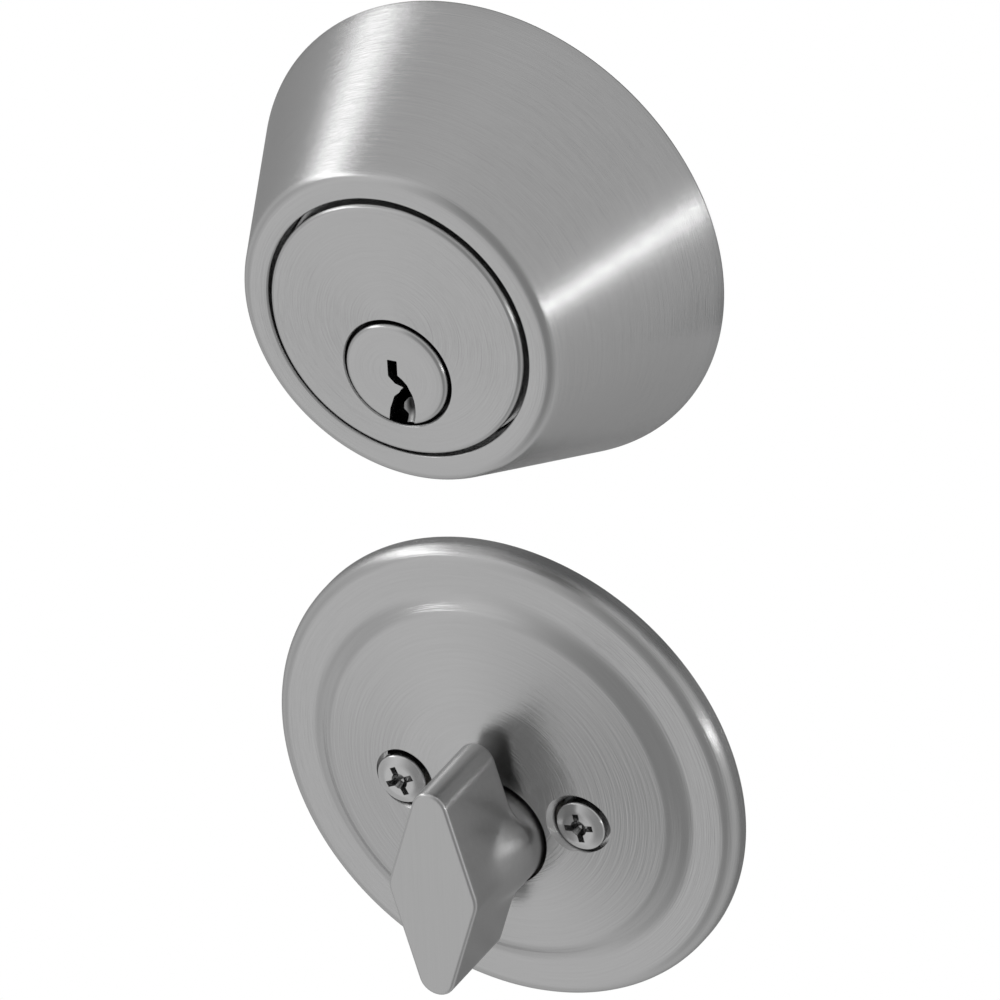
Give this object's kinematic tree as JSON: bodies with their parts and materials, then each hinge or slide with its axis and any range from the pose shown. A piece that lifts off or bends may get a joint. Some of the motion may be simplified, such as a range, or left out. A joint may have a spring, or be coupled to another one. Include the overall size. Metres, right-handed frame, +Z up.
{
  "type": "deadbolt door lock",
  "caption": "Single-cylinder deadbolt lock: tapered outside guard with key cylinder, inside rosette with thumbturn, and tubular bolt unit.",
  "frame": {"origin": "the tailpiece axis where it meets the face of the door, behind the outside half", "axes": "-Y out of the door towards the outside, +X towards the door's edge and the bolt, +Z up"},
  "size_m": [0.0938, 0.0776, 0.1489],
  "materials": {
    "satin_nickel": "satin",
    "screw_nickel": "satin",
    "zinc_steel": "zinc plated",
    "spring_steel": "bright",
    "hardened_steel": "ground",
    "nickel_silver": "bright",
    "brass": "machined",
    "nylon": "moulded"
  },
  "bodies": {
    "root": {"cylinder_housing": "satin_nickel", "wave_washer": "spring_steel", "chamber_cover": "brass", "tail_retainer": "zinc_steel", "outside_back_plate": "zinc_steel", "centring_ring": "nylon", "inside_rosette": "satin_nickel", "inside_back_plate": "zinc_steel", "turn_bushing": "nylon", "through_bolt_left": "screw_nickel", "through_bolt_right": "screw_nickel", "bolt_tube": "zinc_steel", "case_plate_front": "zinc_steel", "case_plate_back": "zinc_steel", "case_rivets": "zinc_steel", "faceplate": "satin_nickel", "faceplate_backing": "zinc_steel", "faceplate_screws": "screw_nickel", "pin_spring_1": "spring_steel", "pin_spring_2": "spring_steel", "pin_spring_3": "spring_steel", "pin_spring_4": "spring_steel", "pin_spring_5": "spring_steel"},
    "guard": {"guard_collar": "satin_nickel"},
    "plug": {"plug": "satin_nickel", "plug_clip": "spring_steel"},
    "tailpiece": {"tailpiece": "zinc_steel"},
    "thumbturn": {"thumbturn": "satin_nickel", "turn_washer": "spring_steel", "turn_clip": "spring_steel"},
    "crank": {"crank": "zinc_steel"},
    "bolt": {"bolt_head": "satin_nickel", "bolt_tail": "zinc_steel", "bolt_tail_pin": "hardened_steel"},
    "roller": {"bolt_roller_pin": "hardened_steel"},
    "pin_1": {"pin_1": "brass"},
    "driver_1": {"driver_1": "nickel_silver"},
    "pin_2": {"pin_2": "brass"},
    "driver_2": {"driver_2": "nickel_silver"},
    "pin_3": {"pin_3": "brass"},
    "driver_3": {"driver_3": "nickel_silver"},
    "pin_4": {"pin_4": "brass"},
    "driver_4": {"driver_4": "nickel_silver"},
    "pin_5": {"pin_5": "brass"},
    "driver_5": {"driver_5": "nickel_silver"}
  },
  "joints": [
    {"name": "guard_spin", "type": "hinge", "parent": "root", "child": "guard", "pos_m": [0, 0, 0.0065], "axis": [0, 1, 0], "continuous": true},
    {"name": "plug_turn", "type": "hinge", "parent": "root", "child": "plug", "pos_m": [0, 0, 0], "axis": [0, 1, 0], "range_deg": [-90, 90]},
    {"name": "thumbturn_turn", "type": "hinge", "parent": "root", "child": "thumbturn", "pos_m": [0, 0, -0.082], "axis": [0, 1, 0], "range_deg": [0, 90]},
    {"name": "tailpiece_turn", "type": "hinge", "parent": "root", "child": "tailpiece", "pos_m": [0, 0, 0], "axis": [0, 1, 0], "range_deg": [-90, 0]},
    {"name": "crank_turn", "type": "hinge", "parent": "root", "child": "crank", "pos_m": [0, 0, 0], "axis": [0, 1, 0], "range_deg": [-90, 0]},
    {"name": "bolt_throw", "type": "slide", "parent": "root", "child": "bolt", "axis": [1, 0, 0], "range_m": [0, 0.0254]},
    {"name": "roller_spin", "type": "hinge", "parent": "bolt", "child": "roller", "pos_m": [0.04, 0.02225, 0], "axis": [1, 0, 0], "continuous": true},
    {"name": "pin_1_drop", "type": "slide", "parent": "plug", "child": "pin_1", "axis": [0, 0, 1], "range_m": [-0.0015, 0]},
    {"name": "driver_1_lift", "type": "slide", "parent": "root", "child": "driver_1", "axis": [0, 0, 1], "range_m": [0, 0.0022], "stiffness_N_per_m": 150, "springref_m": -0.003, "deforming": ["pin_spring_1"]},
    {"name": "pin_2_drop", "type": "slide", "parent": "plug", "child": "pin_2", "axis": [0, 0, 1], "range_m": [-0.0015, 0]},
    {"name": "driver_2_lift", "type": "slide", "parent": "root", "child": "driver_2", "axis": [0, 0, 1], "range_m": [0, 0.0022], "stiffness_N_per_m": 150, "springref_m": -0.003, "deforming": ["pin_spring_2"]},
    {"name": "pin_3_drop", "type": "slide", "parent": "plug", "child": "pin_3", "axis": [0, 0, 1], "range_m": [-0.0015, 0]},
    {"name": "driver_3_lift", "type": "slide", "parent": "root", "child": "driver_3", "axis": [0, 0, 1], "range_m": [0, 0.0022], "stiffness_N_per_m": 150, "springref_m": -0.003, "deforming": ["pin_spring_3"]},
    {"name": "pin_4_drop", "type": "slide", "parent": "plug", "child": "pin_4", "axis": [0, 0, 1], "range_m": [-0.0015, 0]},
    {"name": "driver_4_lift", "type": "slide", "parent": "root", "child": "driver_4", "axis": [0, 0, 1], "range_m": [0, 0.0022], "stiffness_N_per_m": 150, "springref_m": -0.003, "deforming": ["pin_spring_4"]},
    {"name": "pin_5_drop", "type": "slide", "parent": "plug", "child": "pin_5", "axis": [0, 0, 1], "range_m": [-0.0015, 0]},
    {"name": "driver_5_lift", "type": "slide", "parent": "root", "child": "driver_5", "axis": [0, 0, 1], "range_m": [0, 0.0022], "stiffness_N_per_m": 150, "springref_m": -0.003, "deforming": ["pin_spring_5"]}
  ],
  "couplings": [
    {"joint": "thumbturn_turn", "follows": "bolt_throw", "rad_per_m": 61.842},
    {"joint": "tailpiece_turn", "follows": "bolt_throw", "rad_per_m": -61.842},
    {"joint": "crank_turn", "follows": "bolt_throw", "rad_per_m": -61.842}
  ]
}
